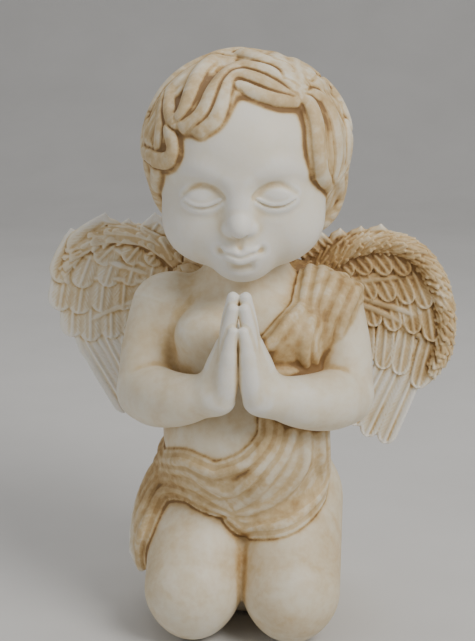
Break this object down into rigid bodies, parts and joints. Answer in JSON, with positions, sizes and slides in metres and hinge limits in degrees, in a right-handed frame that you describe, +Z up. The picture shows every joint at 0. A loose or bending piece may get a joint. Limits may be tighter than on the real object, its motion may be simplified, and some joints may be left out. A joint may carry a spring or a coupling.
{
  "type": "resin angel figurine",
  "caption": "Kneeling winged cherub with closed eyes and praying hands, draped over one shoulder, in antiqued ivory resin.",
  "frame": {"origin": "middle of the object's box in X and Y, on the surface that the felt pads stand on", "axes": "+Z up, -Y the way the figure faces, +X the figure's own left"},
  "size_m": [0.212, 0.1503, 0.2833],
  "materials": {
    "antiqued_resin": "matt ivory stone-filled resin with an ochre-brown antique wash left in the recesses",
    "dowel_steel": "plain cut steel rod",
    "felt": "self-adhesive brown felt"
  },
  "bodies": {
    "root": {"body": "antiqued_resin", "head": "antiqued_resin", "arm_left": "antiqued_resin", "arm_right": "antiqued_resin", "wing_left": "antiqued_resin", "wing_right": "antiqued_resin", "base_plug": "antiqued_resin", "wing_left_dowel_upper": "dowel_steel", "wing_left_dowel_lower": "dowel_steel", "wing_right_dowel_upper": "dowel_steel", "wing_right_dowel_lower": "dowel_steel", "arm_left_dowel": "dowel_steel", "arm_right_dowel": "dowel_steel", "felt_pad_knee_left": "felt", "felt_pad_knee_right": "felt", "felt_pad_foot_left": "felt", "felt_pad_foot_right": "felt"}
  },
  "joints": []
}
